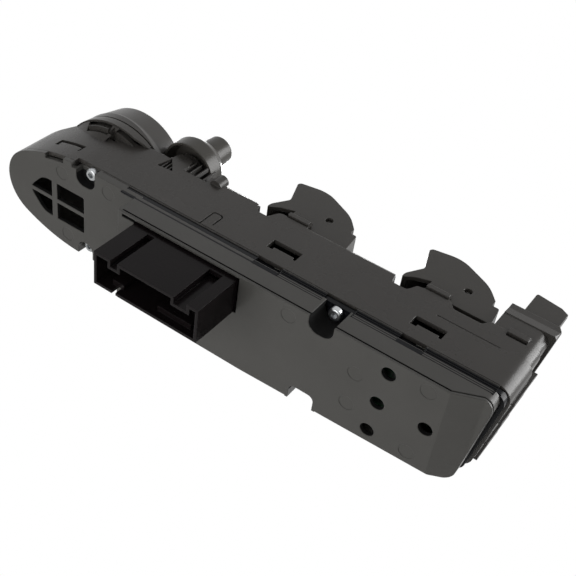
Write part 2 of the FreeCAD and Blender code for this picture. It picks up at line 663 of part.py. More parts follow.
BITE_R = KNOB_R + 0.7
BITE_LOW = KNOB_LOW - 1.4   # below this the flange reaches in under the knob's bell
FLANGE_TOP = -0.5


def mirror_turret():
    flange = turned(FLANGE_X, FLANGE_Y, [(0, FLANGE_LOW, 0), (FLANGE_R, FLANGE_LOW, 0),
                                         (FLANGE_R - 0.25, FLANGE_TOP - 0.3, 0),
                                         (FLANGE_R - 0.6, FLANGE_TOP, 0),
                                         (FLANGE_R - 2.6, 1.2, 0), (0, 1.2, 0)])
    # the rim's lower edge rises toward the knob
    rise_end_x = FLANGE_X + 19.7
    flange = flange.cut(side_slab([(rise_end_x - 10, FLANGE_LOW - 1, 0),
                                   (rise_end_x - 10, FLANGE_LOW, 0),
                                   (rise_end_x, FLANGE_TOP - 0.25, 0),
                                   (BIG, FLANGE_TOP - 0.25, 0),
                                   (BIG, FLANGE_LOW - 1, 0)], -BIG, BIG))
    drum = turned(TURRET_X, TURRET_Y, [(0, 0, 0), (BASE_R, 0, 0), (BASE_R - 1.8, 3.6, 4.0),
                                       (RIM_R, TURRET_TOP, 1.0), (0, TURRET_TOP, 0)])
    drum = drum.common(rod(FLANGE_X, FLANGE_Y, -1, BIG, FLANGE_R - 0.4))
    under_r = BASE_R - TURRET_WALL - 1
    room = turned(TURRET_X, TURRET_Y, [(0, -9, 0), (under_r, -9, 0), (under_r, 0, 0),
                                       (RIM_R - TURRET_WALL, TURRET_TOP - TURRET_WALL, 1.0),
                                       (0, TURRET_TOP - TURRET_WALL, 0)])
    room = room.cut(rod(KNOB_X, KNOB_Y, 0, BIG, BITE_R + TURRET_WALL))
    room = room.fuse(rod(FLANGE_X, FLANGE_Y, -9, FLANGE_TOP - LIP, FLANGE_R - LIP))
    bite = rod(KNOB_X, KNOB_Y, BITE_LOW, BIG, BITE_R)
    bite = bite.fuse(rod(KNOB_X, KNOB_Y, -9, BITE_LOW + 1, KNOB_SEAT_R + 3.2))
    mouth = cone(TURRET_X, TURRET_Y, TURRET_TOP - TURRET_WALL - 1, PAD_HOLE_R - 0.3,
                 TURRET_TOP + 1, PAD_HOLE_R + 0.6)
    deck = slab(body_plan(-0.1), -9, 0).cut(over_slope(0.1))
    return fuse([flange, drum]).cut(room).cut(bite).cut(mouth).cut(deck)


def mirror_pad():
    x = TURRET_X
    y = TURRET_Y
    disc = turned(x, y, [(0, 9.2, 0), (PAD_R - 0.6, 9.2, 0), (PAD_R - 0.6, 12.9, 1.0),
                         (PAD_R - 3.5, 12.9, 2.0), (PAD_R - 6.0, 11.5, 3.0), (0, 11.5, 0)])
    disc = disc.cut(rod(x, y, 9, 9.9, PAD_R - 2.4))
    parts = [disc]
    for fx, fy in FEET:
        parts.append(rod(fx, fy, -1.45, 10.5, 1.6))
    for side in (-1, 1):
        a = y + side * 10.5
        parts.append(box(x - 2.4, x + 2.4, a - 1, a + 1, GIMBAL_Z - 2.2, 10.5))
    pad = fuse(parts)
    return pad.cut(cross_rod(x, y - 12, y + 12, GIMBAL_Z, GIMBAL_PIN_R + PIN_GAP))


def pad_gimbal():
    x = TURRET_X
    y = TURRET_Y
    ring = turned(x, y, [(5.8, GIMBAL_Z - 1.6, 0), (8.2, GIMBAL_Z - 1.6, 0),
                         (8.2, GIMBAL_Z + 1.6, 0), (5.8, GIMBAL_Z + 1.6, 0)])
    pins = fuse([long_rod(x - 11.4, x + 11.4, y, GIMBAL_Z, GIMBAL_PIN_R),
                 cross_rod(x, y - 11.4, y + 11.4, GIMBAL_Z, GIMBAL_PIN_R)])
    return fuse([ring, pins.cut(rod(x, y, -9, 20, 6.6))])


MAT = 0.8


def mirror_board():
    return rod(TURRET_X, TURRET_Y, MIRROR_BOARD_TOP - BOARD, MIRROR_BOARD_TOP, MIRROR_BOARD_R)


def dome_mat():
    mat = rod(TURRET_X, TURRET_Y, MIRROR_BOARD_TOP, MIRROR_BOARD_TOP + MAT, 12.0)
    domes = [cone(fx, fy, MIRROR_BOARD_TOP + MAT - 0.1, 2.6, -2.85, 1.7) for fx, fy in FEET]
    mat = fuse([mat] + domes)
    for side in (-1, 1):
        mat = mat.cut(rod(TURRET_X + side * 12.0, TURRET_Y, -9, 0, 1.8))
    return mat


# Selector knob with its rotor and spring below the deck

ROTOR_TOP = -15.0
ROTOR_LOW = -23.5


def selector_knob():
    knob = turned(KNOB_X, KNOB_Y, [(0, KNOB_LOW + 4, 0), (9.6, KNOB_LOW + 4, 0),
                                   (KNOB_R - 0.9, KNOB_LOW, 0), (KNOB_R, KNOB_LOW, 0.3),
                                   (KNOB_R, 11.6, 2.0), (9.4, 15.6, 2.0),
                                   (6.6, 17.6, 2.0), (5.9, KNOB_TOP, 1.2),
                                   (0, KNOB_TOP, 0)])
    stem = rod(KNOB_X, KNOB_Y, ROTOR_TOP - 3, KNOB_LOW + 5, STEM_R)
    bore = rod(KNOB_X, KNOB_Y, ROTOR_TOP - 4, KNOB_LOW + 2, STEM_R - SKIN)
    return fuse([knob, stem]).cut(bore)


def selector_rotor():
    drum = rod(KNOB_X, KNOB_Y, ROTOR_LOW, ROTOR_TOP, 5.3)
    socket = rod(KNOB_X, KNOB_Y, ROTOR_TOP - 3, ROTOR_TOP + 1, STEM_R)
    return drum.cut(socket)


def selector_wiper():
    hub = rod(KNOB_X, KNOB_Y, ROTOR_LOW - PLATE, ROTOR_LOW, 4.4)
    parts = [hub]
    for turn in (0, 120, 240):
        arm = side_slab([(0.6, ROTOR_LOW - PLATE, 0), (4.2, HOUSING_LOW + 0.1, 0),
                         (5.0, HOUSING_LOW + 0.1, 0), (1.6, ROTOR_LOW - PLATE, 0)], -0.8, 0.8)
        arm.rotate(V(0, 0, 0), V(0, 0, 1), turn)
        arm.translate(V(KNOB_X, KNOB_Y, 0))
        parts.append(arm)
    return fuse(parts)


# Inner carrier: the frame whose edge shows between housing and cover

RAIL = 1.2


def carrier_plan(inset):
    half = WALL_HALF - CARRIER_INSET - inset
    return run([(CARRIER_X + inset, -half, 0), (65.0 - inset, -half, 4.0 - inset),
                (58.0 - inset, half, 4.0 - inset), (CARRIER_X + inset, half, 0)], True)


def inner_carrier():
    frame = slab(carrier_plan(0), CARRIER_LOW, HOUSING_LOW)
    hollow = slab(carrier_plan(WALL), CARRIER_LOW - 1, HOUSING_LOW - CARRIER_FLOOR)
    frame = frame.cut(hollow)
    adds = [box(-104.0, CARRIER_X + 1, -18.8, 18.8, HOUSING_LOW - CARRIER_FLOOR, HOUSING_LOW)]
    for x, y in MID_SCREWS:
        pillar = rod(x, y, CARRIER_LOW, HOUSING_LOW, 4.0)
        adds.append(pillar.common(slab(carrier_plan(0), CARRIER_LOW, HOUSING_LOW)))
    for x, y in ROCKERS:
        for side in (-1, 1):
            a = y + side * (SLIDER_HALF_Y + SLIDE_GAP)
            b = a + side * RAIL
            adds.append(box(x - 11, x + 11, min(a, b), max(a, b), HOUSING_LOW - 1, -22.6))
    frame = fuse([frame] + adds)
    cuts = [box(-BIG, COVER_X + WALL + 0.1, -BIG, BIG, CARRIER_LOW - 1, NOSE_FACE + WALL)]
    for x, y in MID_SCREWS:
        cuts.append(rod(x, y, CARRIER_LOW - 1, HOUSING_LOW + 1, SCREW_R + 0.2))
    for x, y in ROCKERS:
        cuts.append(box(x - 8.6, x + 8.6, y - 2.4, y + 2.4, CARRIER_LOW, HOUSING_LOW + 1))
    # recesses and fine grooves along the edge that shows
    edge = WALL_HALF - CARRIER_INSET
    for x0, x1 in ((-36.0, -25.8), (23.3, 33.1)):
        cuts.append(box(x0, x1, -edge - 1, 1.2 - edge, CARRIER_LOW - 1, HOUSING_LOW - 0.5))
    for x0, x1 in ((-25.2, -6.9), (5.1, 23.2)):
        for z in (-28.3, -27.6, -26.9):
            cuts.append(box(x0, x1, -edge - 1, 0.5 - edge, z, z + 0.35))
    # shadow lines above and below the edge
    for z in (CARRIER_LOW - 0.1, HOUSING_LOW - 0.55):
        cuts.append(box(CARRIER_X - 1, 62.0, -edge - 1, 1.1 - edge, z, z + 0.6))
    return frame.cut(cuts[0].multiFuse(cuts[1:]))


# Lower cover: nose tray and main box in one moulding

NOTCH_NEAR = (-5.35, 4.85, -14.9, 4.2)
NOTCH_FAR = (-8.35, 2.25, 14.4, 2.5)


def end_wedge(lift):
    return side_slab([(49.15 - lift * 0.5, COVER_FACE - 1 + lift, 0), (49.15 - lift * 0.5,
                      COVER_FACE + lift, 0), (59.5, -35.3 + lift, 2.0), (BIG, -35.3 + lift, 0),
                      (BIG, COVER_FACE - 1 + lift, 0)], -BIG, BIG)


def lower_cover():
    box_out = slab(cover_plan(0), COVER_FACE, CARRIER_LOW)
    bottom = [e for e in box_out.Edges if e.BoundBox.ZMax < COVER_FACE + 0.01]
    box_out = box_out.makeChamfer(0.35, bottom).cut(end_wedge(0))
    room = slab(cover_plan(WALL), COVER_FACE + COVER_FLOOR, CARRIER_LOW + 1)
    room = room.cut(end_wedge(COVER_FLOOR))
    step = box(COVER_X, COVER_X + WALL, -WALL_HALF, WALL_HALF, COVER_FACE, NOSE_FACE + WALL)
    tray = slab(body_plan(0), NOSE_FACE, NOSE_RIM)
    tray = tray.common(box(-BIG, COVER_X + WALL, -BIG, BIG, NOSE_FACE, NOSE_RIM))
    tray = tray.cut(slab(body_plan(WALL), NOSE_FACE + WALL, 0))
    tray = tray.cut(box(CARRIER_X - SIDE_GAP, BIG, -BIG, BIG, NOSE_FACE + WALL, 0))
    adds = [box_out.cut(room), step, tray]
    # pockets round the screws
    for around in (NOTCH_NEAR, NOTCH_FAR):
        pocket = notch(*around, NOTCH_WALL, COVER_FACE, CARRIER_LOW - 0.05)
        adds.append(pocket.common(slab(cover_plan(0), COVER_FACE, CARRIER_LOW)))
    for around in (CUP_NEAR, CUP_FAR):
        cup = notch(*around, NOTCH_WALL, NOSE_FACE, CUP_TOP)
        adds.append(cup.common(slab(body_plan(0), NOSE_FACE, NOSE_RIM)))
        adds.append(cup.common(slab(body_plan(WALL + 0.1), NOSE_FACE, CUP_TOP)))
    for x, y in ((-60.0, 10.0), (-20.0, 8.0), (-20.0, -8.0), (50.0, 10.0)):
        adds.append(rod(x, y, COVER_FACE + 1.5, CARRIER_LOW - BOARD, 2.0))
    cover = fuse(adds)

    cuts = [nose_skirt(0.1)]
    for around in (NOTCH_NEAR, NOTCH_FAR):
        cuts.append(notch(*around, 0, COVER_FACE - 1, CARRIER_LOW + 1))
    for around in (CUP_NEAR, CUP_FAR):
        cuts.append(notch(*around, 0, NOSE_FACE - 1, NOSE_SEAT))
    for x, y in NOSE_SCREWS:
        cuts.append(rod(x, y, NOSE_FACE - 1, CUP_TOP + 1, SCREW_R + 0.2))
    grille = [(-116.6, -7.2, 0.6), (-116.6, 10.2, 0.6), (-138.5, 10.2, 7.0), (-146.3, 1.5, 4.0),
              (-138.5, -7.2, 7.0)]
    panes = slab(run(grille, True), NOSE_FACE - 1, NOSE_FACE + WALL + 1)
    panes = panes.cut(box(-133.7, -131.0, -BIG, BIG, -BIG, BIG))
    cuts.append(panes.cut(box(-BIG, BIG, 0.5, 2.2, -BIG, BIG)))
    for x, y in ((27.35, -15.1), (25.95, 0.0), (24.75, 14.4), (44.65, -0.7)):
        cuts.append(rod(x, y, COVER_FACE - 1, COVER_FACE + COVER_FLOOR + 1, PLATE_HOLE_R))
    cuts.append(box(SHROUD_X0 - 0.8, SHROUD_X1 + 0.8, SHROUD_Y0 - 0.7, SHROUD_Y1 + 0.7,
                    COVER_FACE - 1, COVER_FACE + COVER_FLOOR + 1))
    cuts.append(box(SHROUD_X0 - 6.4, SHROUD_X0, -20.5, -19.1, COVER_FACE - 1,
                    COVER_FACE + COVER_FLOOR + 1))
    # ejector marks
    for x, y in ((-128.0, -13.8), (-104.2, -16.0), (-125.5, 15.3)):
        cuts.append(rod(x, y, NOSE_FACE - 1, NOSE_FACE + 0.15, 3.0))
    for x, y in ((15.7, -7.4), (14.9, 7.7), (-13.3, -16.1), (42.0, -17.0), (40.6, 14.0)):
        cuts.append(rod(x, y, COVER_FACE - 1, COVER_FACE + 0.15, 3.0))
    # groove between the side walls and the face, rising with the sloped end
    groove = side_slab([(COVER_X + 2, -39.2, 0), (48.9, -39.2, 0), (58.7, -34.5, 0),
                        (BIG, -34.5, 0), (BIG, -33.9, 0), (58.5, -33.9, 0), (48.7, -38.6, 0),
                        (COVER_X + 2, -38.6, 0)], -BIG, 0)
    band = slab(cover_plan(-1), COVER_FACE, -33).cut(slab(cover_plan(0.7), COVER_FACE, -33))
    cuts.append(groove.common(band))
    # windows in the nose rim at the near side
    edge = slab(body_plan(-1), NOSE_FACE - 1, NOSE_RIM + 1)
    edge = edge.cut(slab(body_plan(2.1), NOSE_FACE - 1, NOSE_RIM + 1))
    for x0, x1 in ((-136.8, -127.2), (SKIRT_X, CUP_NEAR[0] + 1)):
        cuts.append(edge.common(box(x0, x1, -BIG, 0, -BIG, 0)))
    return cover.cut(cuts[0].multiFuse(cuts[1:]))


# Circuit board and what it carries

BOARD_TOP = CARRIER_LOW
BOARD_LOW = CARRIER_LOW - BOARD
PINS = [(-76.0 + 4.6 * i, y) for i in range(8) for y in (-14.2, -9.8)]
PIN_HALF = 0.4
PIN_TIP = -52.0


def circuit_board():
    half = WELL_HALF - 0.4
    start = COVER_X + WALL + 0.95
    board = slab(run([(start, -half, 1), (57.0, -half, 2), (53.5, 16.0, 2), (-30.0, half, 0),
                      (start, half, 1)], True), BOARD_LOW, BOARD_TOP)
    for around in (NOTCH_NEAR, NOTCH_FAR):
        board = board.cut(notch(*around, NOTCH_WALL + 0.3, BOARD_LOW - 1, BOARD_TOP + 1))
    holes = []
    for x, y in PINS:
        holes.append(box(x - PIN_HALF, x + PIN_HALF, y - PIN_HALF, y + PIN_HALF,
                         BOARD_LOW - 1, BOARD_TOP + 1))
    return board.cut(holes[0].multiFuse(holes[1:]))


def connector_pins():
    solids = []
    for x, y in PINS:
        solids.append(box(x - PIN_HALF, x + PIN_HALF, y - PIN_HALF, y + PIN_HALF,
                          PIN_TIP, BOARD_TOP + 0.7))
    return Part.makeCompound(solids)


def control_chip():
    x = 0.0
    y = 1.0
    case = box(x - 6, x + 6, y - 6, y + 6, BOARD_LOW - 1.6, BOARD_LOW - 0.15)
    legs = []
    for i in range(8):
        u = x - 4.9 + 1.4 * i
        legs.append(box(u - 0.25, u + 0.25, y - 7.4, y + 7.4, BOARD_LOW - 0.6, BOARD_LOW))
    return fuse([case] + legs)


def capacitors():
    solids = []
    for x in (-22.0, -14.0, 34.0):
        solids.append(rod(x, 1.0, BOARD_LOW - 5.4, BOARD_LOW, 2.6))
    return Part.makeCompound(solids)


# Connector inlet

def connector_shroud():
    x0 = SHROUD_X0
    x1 = SHROUD_X1
    y0 = SHROUD_Y0
    y1 = SHROUD_Y1
    key_depth = 3.0
    body = box(x0, x1, y0, y1, SHROUD_RIM, BOARD_LOW)
    body = body.cut(box(x0 + 2, x1 - 2, y0 + 2, y1 - 2, SHROUD_FLOOR + 2, BOARD_LOW + 1))
    mouth = box(x0 + SHROUD_WALL, x1 - SHROUD_WALL, y0 + SHROUD_WALL, y1 - SHROUD_WALL,
                SHROUD_RIM - 1, SHROUD_FLOOR)
    keys = [(-74.4, -71.2), (-46.0, -40.3)]
    for a, b in keys:
        mouth = mouth.cut(box(a - SHROUD_WALL, b + SHROUD_WALL, y0, y0 + key_depth + SHROUD_WALL,
                              -BIG, BIG))
    for a, b in ((-75.6, -70.4), (-55.0, -40.0)):
        mouth = mouth.cut(box(a, b, y1 - SHROUD_WALL - 2.2, y1, SHROUD_RIM + 3.0, 0))
    body = body.cut(mouth)
    for a, b in keys:
        body = body.cut(box(a, b, y0 - 1, y0 + key_depth, SHROUD_RIM - 1, COVER_FACE - 2))
    body = body.cut(box(-73.6, -71.8, y1 - SHROUD_WALL - 0.1, y1 + 1, SHROUD_RIM - 1, -52))
    holes = []
    for x, y in PINS:
        holes.append(box(x - PIN_HALF, x + PIN_HALF, y - PIN_HALF, y + PIN_HALF,
                         SHROUD_RIM, BOARD_LOW + 1))
    return body.cut(holes[0].multiFuse(holes[1:]))


def cover_screws():
    solids = []
    seats = [(p, NOSE_SEAT) for p in NOSE_SCREWS] + [(p, CARRIER_LOW) for p in MID_SCREWS]
    for (x, y), seat in seats:
        head = turned(x, y, [(0, seat - HEAD_H, 0), (HEAD_R, seat - HEAD_H, 0.8),
                             (HEAD_R, seat, 0), (0, seat, 0)])
        shank = rod(x, y, seat - 0.1, seat + 12.0, SCREW_R)
        socket = slab(run([(x + 1.3 * math.cos(math.radians(60 * i)),
                            y + 1.3 * math.sin(math.radians(60 * i)), 0) for i in range(6)],
                          True), seat - HEAD_H - 1, seat - HEAD_H + 1.2)
        solids.append(fuse([head, shank]).cut(socket))
    return Part.makeCompound(solids)


os.makedirs("parts", exist_ok=True)
nodes = {
    "upper_housing": upper_housing(),
    "lower_cover": lower_cover(),
    "inner_carrier": inner_carrier(),
    "circuit_board": circuit_board(),
    "connector_shroud": connector_shroud(),
    "connector_pins": connector_pins(),
    "control_chip": control_chip(),
    "capacitors": capacitors(),
    "cover_screws": cover_screws(),
    "mirror_turret": mirror_turret(),
    "mirror_pad": mirror_pad(),
    "pad_gimbal": pad_gimbal(),
    "mirror_board": mirror_board(),
    "dome_mat": dome_mat(),
    "selector_knob": selector_knob(),
    "selector_rotor": selector_rotor(),
    "selector_wiper": selector_wiper(),
    "lock_button": lock_button(),
    "lock_spring": lock_spring(),
    "lock_switch": lock_switch(),
}
for (x, y), place in zip(ROCKERS, PLACES):
    nodes["rocker_" + place] = rocker(x, y)
    nodes["slider_" + place] = slider(x, y)
    nodes["contact_spring_" + place] = contact_spring(x, y)
for name, shape in nodes.items():
    shape.exportStep("parts/" + name + ".step")
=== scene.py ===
import math

import bmesh
import bpy
from mathutils import Matrix, Vector


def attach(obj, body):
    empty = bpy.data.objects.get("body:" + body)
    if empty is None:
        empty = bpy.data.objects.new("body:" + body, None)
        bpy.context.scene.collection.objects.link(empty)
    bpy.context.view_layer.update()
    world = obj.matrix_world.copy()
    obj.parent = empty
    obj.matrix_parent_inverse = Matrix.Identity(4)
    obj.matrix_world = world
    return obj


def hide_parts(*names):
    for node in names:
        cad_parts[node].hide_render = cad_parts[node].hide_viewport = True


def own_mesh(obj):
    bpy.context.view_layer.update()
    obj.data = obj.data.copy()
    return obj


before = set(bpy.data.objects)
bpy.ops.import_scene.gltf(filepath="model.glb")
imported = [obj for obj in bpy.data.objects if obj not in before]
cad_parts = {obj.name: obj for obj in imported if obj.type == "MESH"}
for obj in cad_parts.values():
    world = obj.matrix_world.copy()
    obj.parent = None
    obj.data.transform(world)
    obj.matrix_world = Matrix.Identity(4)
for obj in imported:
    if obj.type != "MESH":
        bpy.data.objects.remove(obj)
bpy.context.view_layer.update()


# Upper housing
# The long moulding that carries every other piece, of black ABS. Its mould was spark-eroded,
# so a fine grain scatters the light and turns the black into a warm dark grey.

def linear(hex_colour):
    """sRGB hex colour as linear red, green, blue and alpha."""
    channels = [int(hex_colour[i:i + 2], 16) / 255 for i in (1, 3, 5)]
    return [c / 12.92 if c <= 0.04045 else ((c + 0.055) / 1.055) ** 2.4 for c in channels] + [1.0]


def add_node(tree, kind, inputs=None, **settings):
    """Adds a shader node. An input takes a value, or another node's output as a link."""
    node = tree.nodes.new(kind)
    for name, value in settings.items():
        setattr(node, name, value)
    for socket, value in (inputs or {}).items():
        if isinstance(value, bpy.types.NodeSocket):
            tree.links.new(value, node.inputs[socket])
        else:
            node.inputs[socket].default_value = value
    return node


def new_material(name):
    """A material with its shader and with the object's own coordinates in metres."""
    mat = bpy.data.materials.new(name)
    mat.use_nodes = True
    tree = mat.node_tree
    place = add_node(tree, "ShaderNodeTexCoord").outputs["Object"]
    return mat, tree, tree.nodes["Principled BSDF"], place


def moulded_plastic(name, low_hex, high_hex, roughness, grain_mm, grain_depth, edge_mm, gloss):
    """Moulded plastic. Its tone drifts a little where the melt flowed, its grain is raised, the
    mould's edges are slightly round, and handling leaves patches that are a little smoother.
    Real grain is 0.05 to 0.15 mm wide and is drawn up to five times as coarse, to show."""
    flow_mm = 22.0
    handling_mm = 9.0
    handling_spread = 0.04
    grain_relief_mm = 0.1
    plastic_ior = 1.52

    mat, tree, shader, place = new_material(name)
    drift = add_node(tree, "ShaderNodeTexNoise",
                     {"Vector": place, "Scale": 1000 / flow_mm, "Detail": 3.0})
    tone = add_node(tree, "ShaderNodeMix",
                    {"Factor": drift.outputs["Fac"], "A": linear(low_hex), "B": linear(high_hex)},
                    data_type="RGBA")
    tree.links.new(tone.outputs["Result"], shader.inputs["Base Color"])

    grain = add_node(tree, "ShaderNodeTexNoise",
                     {"Vector": place, "Scale": 1000 / grain_mm, "Detail": 2.0})
    rounding = add_node(tree, "ShaderNodeBevel", {"Radius": edge_mm / 1000}, samples=4)
    bump = add_node(tree, "ShaderNodeBump",
                    {"Height": grain.outputs["Fac"], "Normal": rounding.outputs["Normal"],
                     "Strength": grain_depth, "Distance": grain_relief_mm / 1000})
    tree.links.new(bump.outputs["Normal"], shader.inputs["Normal"])

    patches = add_node(tree, "ShaderNodeTexNoise",
                       {"Vector": place, "Scale": 1000 / handling_mm, "Detail": 4.0})
    spread = add_node(tree, "ShaderNodeMapRange",
                      {"Value": patches.outputs["Fac"], "From Min": 0.3, "From Max": 0.7,
                       "To Min": roughness - handling_spread,
                       "To Max": roughness + handling_spread})
    tree.links.new(spread.outputs["Result"], shader.inputs["Roughness"])

    shader.inputs["Specular IOR Level"].default_value = gloss
    shader.inputs["IOR"].default_value = plastic_ior
    return mat


def finish(node, material):
    """Gives a CAD node its material."""
    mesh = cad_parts[node].data
    mesh.materials.clear()
    mesh.materials.append(material)


# the eroded grain is 0.15 mm wide, drawn twice as coarse so that it shows
eroded_abs = moulded_plastic("eroded_black_abs", "#302e2c", "#373533", roughness=0.28,
                             grain_mm=0.3, grain_depth=0.3, edge_mm=0.4, gloss=0.2)
finish("upper_housing", eroded_abs)


# Lower cover
# The nose tray and the main box in one moulding of black ABS, screwed on from below. Its mould
# was only lightly grained, so the flat face takes an even satin tone that drifts slowly; its
# pockets, its inside and the groove along its edge carry painted shade.

def inside_box(tree, place, low_mm, high_mm):
    """1 inside a box given in millimetres, 0 outside it."""
    axes = add_node(tree, "ShaderNodeSeparateXYZ", {"Vector": place})
    inside_all = None
    for axis, low, high in zip("XYZ", low_mm, high_mm):
        offset = add_node(tree, "ShaderNodeMath",
                          {0: axes.outputs[axis], 1: (low + high) / 2000},
                          operation="SUBTRACT")
        reach = add_node(tree, "ShaderNodeMath", {0: offset.outputs[0]}, operation="ABSOLUTE")
        inside = add_node(tree, "ShaderNodeMath",
                          {0: reach.outputs[0], 1: (high - low) / 2000},
                          operation="LESS_THAN").outputs[0]
        if inside_all is not None:
            inside = add_node(tree, "ShaderNodeMath", {0: inside_all, 1: inside},
                              operation="MULTIPLY").outputs[0]
        inside_all = inside
    return inside_all


def paint_shade_inside(mat, boxes, shade_hex):
    """Paints shade into the pockets and the inside: within each box the colour turns to a
    near-black shade tone, and the surface is rougher.
    """
    tree = mat.node_tree
    shader = tree.nodes["Principled BSDF"]
    place = tree.nodes["Texture Coordinate"].outputs["Object"]
    for low_mm, high_mm in boxes:
        inside = inside_box(tree, place, low_mm, high_mm)
        skin = shader.inputs["Base Color"].links[0].from_socket
        tone = add_node(tree, "ShaderNodeMix",
                        {"Factor": inside, "A": skin, "B": linear(shade_hex)}, data_type="RGBA")
        tree.links.new(tone.outputs["Result"], shader.inputs["Base Color"])
        rough = shader.inputs["Roughness"].links[0].from_socket
        rougher = add_node(tree, "ShaderNodeMath", {0: rough, 1: inside},
                           operation="ADD", use_clamp=True)
        tree.links.new(rougher.outputs[0], shader.inputs["Roughness"])


# the light grain is 0.1 mm wide, drawn at 0.35 mm so that it shows
cover_abs = moulded_plastic("satin_black_abs", "#3a3937", "#434240", roughness=0.32,
                            grain_mm=0.35, grain_depth=0.2, edge_mm=0.45, gloss=0.2)
# painted shade: the pockets, the inside of the box and the groove along the near edge, where
# shade falls, are drawn near black, each given as a box in millimetres
inside_of_box = ((-89.0, -21.2, -39.7), (48.4, 17.5, -28.0))
screw_pocket = ((-120.5, -17.6, -29.7), (-110.5, 17.6, -18.0))
nose_cup = ((-147.0, -9.0, -29.7), (-116.0, 12.0, -20.0))
edge_groove = ((-89.0, -22.0, -39.25), (48.8, -20.6, -38.55))
paint_shade_inside(cover_abs, [inside_of_box, screw_pocket, nose_cup, edge_groove], "#0d0d0d")
finish("lower_cover", cover_abs)


# Inner carrier
# The frame between housing and cover, of glass-filled black PBT from a polished mould. Its
# edge shows as a dark strip, slightly blue where it mirrors the light.

# the polished skin waves over 0.6 mm and has no grain to draw
carrier_pbt = moulded_plastic("polished_black_pbt", "#090a0d", "#0f1014", roughness=0.22,
                              grain_mm=0.6, grain_depth=0.12, edge_mm=0.2, gloss=0.1)
finish("inner_carrier", carrier_pbt)


def add_piece(name, shape, material):
    """Puts a built shape into the scene as a piece of its own."""
    mesh = bpy.data.meshes.new(name)
    shape.to_mesh(mesh)
    shape.free()
    mesh.materials.append(material)
    piece = bpy.data.objects.new(name, mesh)
    bpy.context.scene.collection.objects.link(piece)
    return piece


def near_strip(name, bars, material):
    """A rail of bars along the near edge. Each bar is a profile in Y and Z, in millimetres,
    drawn out between two X values."""
    shape = bmesh.new()
    for x0, x1, profile in bars:
        start = [shape.verts.new((x0 / 1000, y / 1000, z / 1000)) for y, z in profile]
        end = [shape.verts.new((x1 / 1000, y / 1000, z / 1000)) for y, z in profile]
        shape.faces.new(list(reversed(start)))
        shape.faces.new(end)
        for i in range(len(profile)):
            j = (i + 1) % len(profile)
            shape.faces.new((start[i], start[j], end[j], end[i]))
    bmesh.ops.recalc_face_normals(shape, faces=shape.faces)
    return add_piece(name, shape, material)


# the edge lies over the top of the cover's wall; its flat part ends at a deep recess, and
# fine lengthwise ribs run from there to the corner
edge_in = -20.5
edge_out = -21.55
edge_low = -31.2
rim_low = -26.6
rim_top = -26.2
recess_top = -29.3
rib_root = edge_out + 0.45
rib_pitch = 0.95
rib_tall = 0.5
flat_x = (-97.0, -36.2)
recesses_x = ((-36.2, -25.6), (23.3, 33.0))
ribbed_x = ((-25.6, -6.6), (5.6, 23.3), (33.0, 60.2))

flat_part = [(edge_in, edge_low + 0.5), (edge_out + 0.15, edge_low), (edge_out, edge_low + 0.3),
             (edge_out + 0.35, rim_low), (edge_in, rim_low)]
recess_floor = [(edge_in, recess_top), (edge_in, edge_low), (edge_out + 0.02, edge_low),
                (edge_out + 0.02, recess_top)]
behind_ribs = [(edge_in, edge_low), (rib_root, edge_low), (rib_root, rim_low),
               (edge_in, rim_low)]
end_rib = [(edge_in, edge_low), (edge_out, edge_low), (edge_out, rim_low), (edge_in, rim_low)]
bars = [(*flat_x, flat_part)]
bars += [(x0, x1, recess_floor) for x0, x1 in recesses_x]
for x0, x1 in ribbed_x:
    bars.append((x0, x1, behind_ribs))
    bars.append((x0, x0 + rib_tall, end_rib))
    z = edge_low
    while z < rim_low - rib_tall:
        bars.append((x0, x1, [(rib_root + 0.05, z), (edge_out, z + 0.1), (edge_out, z + 0.4),
                              (rib_root + 0.05, z + rib_tall)]))
        z += rib_pitch
carrier_edge = near_strip("carrier_edge", bars, carrier_pbt)
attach(carrier_edge, "panel")

# the flange on top of the edge is flush with the wall and has the wall's grain
flange = [(edge_in, rim_low), (edge_out, rim_low), (edge_out, rim_top), (edge_in, rim_top)]
flanges = [(x0, x1, flange) for x0, x1 in ((-110.0, -36.2), *ribbed_x)]
carrier_rim = near_strip("carrier_rim", flanges, eroded_abs)
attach(carrier_rim, "panel")


# Cover screws
# Four self-tapping steel screws with a hexagon socket, which hold the cover. Zinc plating
# keeps them bright, and the marks of the tool make their shine a little uneven.

def plated_metal(name, low_hex, high_hex, roughness, grain_mm):
    """Bright metal with faint patches in the plating and fine marks from the tool. The marks
    are really 0.02 to 0.05 mm wide and are drawn coarser, so that they show."""
    patch_mm = 1.5
    mark_relief_mm = 0.05

    mat, tree, shader, place = new_material(name)
    patches = add_node(tree, "ShaderNodeTexNoise",
                       {"Vector": place, "Scale": 1000 / patch_mm, "Detail": 3.0})
    tone = add_node(tree, "ShaderNodeMix",
                    {"Factor": patches.outputs["Fac"], "A": linear(low_hex),
                     "B": linear(high_hex)}, data_type="RGBA")
    tree.links.new(tone.outputs["Result"], shader.inputs["Base Color"])
    marks = add_node(tree, "ShaderNodeTexNoise",
                     {"Vector": place, "Scale": 1000 / grain_mm, "Detail": 2.0})
    bump = add_node(tree, "ShaderNodeBump",
                    {"Height": marks.outputs["Fac"], "Strength": 0.15,
                     "Distance": mark_relief_mm / 1000})
    tree.links.new(bump.outputs["Normal"], shader.inputs["Normal"])
    shader.inputs["Metallic"].default_value = 1.0
    shader.inputs["Roughness"].default_value = roughness
    return mat


zinc_plated_steel = plated_metal("zinc_plated_steel", "#a9abad", "#bcbec0", roughness=0.3,
                                 grain_mm=0.15)
finish("cover_screws", zinc_plated_steel)


# Circuit board and mirror board
# Glass laminate under a green solder mask, held between the carrier and the cover's posts, and
# under the pad. The copper tracks show through as slightly lighter lines, and the glass weave
# as a faint texture.

